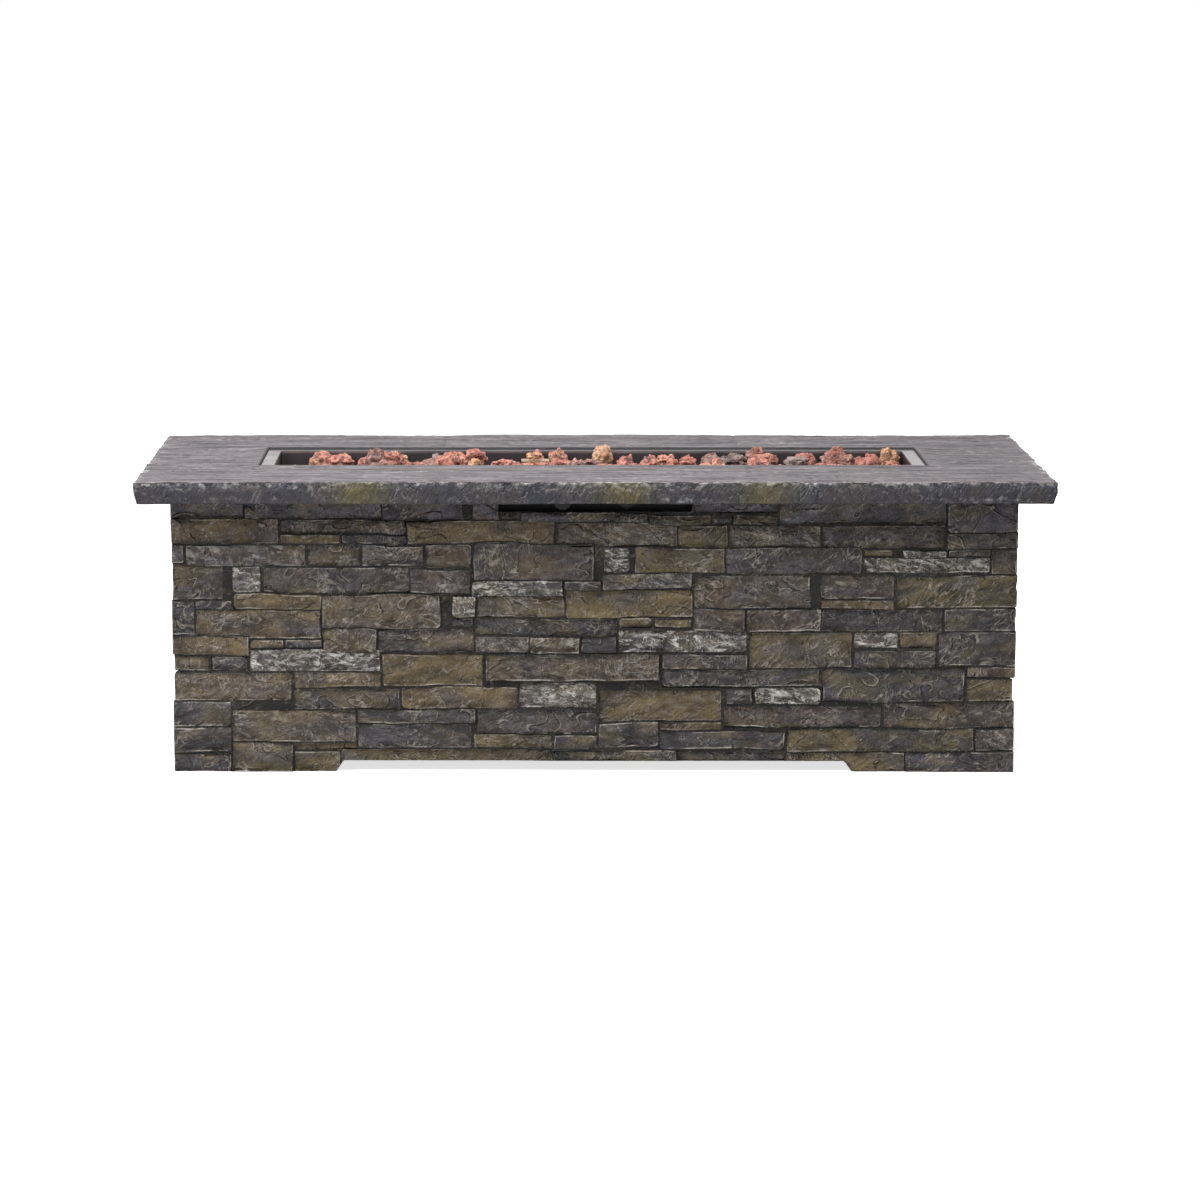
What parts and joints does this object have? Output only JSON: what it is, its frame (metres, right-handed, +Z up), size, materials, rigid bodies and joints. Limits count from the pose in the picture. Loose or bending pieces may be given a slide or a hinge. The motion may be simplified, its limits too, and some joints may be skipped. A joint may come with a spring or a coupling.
{
  "type": "propane fire pit table",
  "caption": "Low rectangular gas fire pit table with a stacked-stone base, an overhanging slate-look top, a linear burner in a sunken pan under lava rock, and a control recess below the rim.",
  "frame": {"origin": "on the floor, under the middle of the table", "axes": "+X to the right along the length, front towards -Y, +Z up"},
  "size_m": [1.422, 0.559, 0.4836],
  "materials": {
    "slate_top_casting": "cast concrete, riven slate face",
    "stacked_stone_casting": "cast concrete, stacked stone face, hand coloured",
    "pan_steel": "satin stainless sheet, heat darkened inside",
    "burner_steel": "stainless tube, heat tinted",
    "hood_steel": "stainless sheet, straw heat tint",
    "galvanised_steel": "galvanised sheet",
    "zinc_screws": "zinc plated",
    "black_panel": "black powder coat",
    "brass_fittings": "turned brass",
    "valve_casting": "die cast",
    "feed_tube_aluminium": "drawn tube",
    "black_knob_plastic": "moulded, fine texture",
    "igniter_plastic": "moulded",
    "igniter_button_plastic": "moulded, polished",
    "spring_steel": "drawn spring wire",
    "battery_jacket": "shrunk plastic sleeve",
    "electrode_ceramic": "fired alumina",
    "probe_steel": "heat tinted",
    "spark_lead_rubber": "silicone jacket",
    "thermocouple_copper": "drawn copper tube",
    "lava_red": "broken lava, pitted",
    "lava_brown": "broken lava, pitted",
    "lava_tan": "broken lava, pitted"
  },
  "bodies": {
    "base": {"table_top": "slate_top_casting", "front_wall": "stacked_stone_casting", "back_wall": "stacked_stone_casting", "left_end_wall": "stacked_stone_casting", "right_end_wall": "stacked_stone_casting", "corner_brackets": "galvanised_steel", "corner_bracket_screws": "zinc_screws", "top_clips": "galvanised_steel", "top_clip_screws": "zinc_screws", "heat_shield": "galvanised_steel", "heat_shield_screws": "zinc_screws", "fire_pan": "pan_steel", "burner_tube": "burner_steel", "burner_saddles": "burner_steel", "burner_saddle_screws": "zinc_screws", "burner_inlet_nut": "brass_fittings", "air_mixer": "brass_fittings", "orifice_elbow": "brass_fittings", "gas_feed_tube": "feed_tube_aluminium", "feed_tube_nuts": "brass_fittings", "control_panel": "black_panel", "control_panel_screws": "zinc_screws", "gas_valve_body": "valve_casting", "valve_nut": "zinc_screws", "valve_inlet_fitting": "brass_fittings", "knob_return_spring": "spring_steel", "igniter_body": "igniter_plastic", "igniter_nut": "igniter_plastic", "igniter_battery": "battery_jacket", "igniter_spring": "spring_steel", "pilot_hood": "hood_steel", "pilot_hood_screws": "zinc_screws", "electrode_insulator": "electrode_ceramic", "spark_electrode": "probe_steel", "thermocouple_probe": "probe_steel", "spark_lead": "spark_lead_rubber", "thermocouple_lead": "thermocouple_copper", "lava_rocks_red": "lava_red", "lava_rocks_brown": "lava_brown", "lava_rocks_tan": "lava_tan"},
    "knob_slider": {"knob_thrust_washer": "zinc_screws"},
    "knob": {"control_knob": "black_knob_plastic", "valve_stem": "brass_fittings"},
    "button": {"igniter_button": "igniter_button_plastic"}
  },
  "joints": [
    {"name": "knob_push", "type": "slide", "parent": "base", "child": "knob_slider", "axis": [0, 1, 0], "range_m": [0, 0.004], "stiffness_N_per_m": 800, "deforming": ["knob_return_spring"]},
    {"name": "knob_turn", "type": "hinge", "parent": "knob_slider", "child": "knob", "pos_m": [-0.05, -0.2175, 0.431], "axis": [0, -1, 0], "range_deg": [0, 220]},
    {"name": "igniter_press", "type": "slide", "parent": "base", "child": "button", "axis": [0, 1, 0], "range_m": [0, 0.005], "stiffness_N_per_m": 600, "deforming": ["igniter_spring"]}
  ]
}
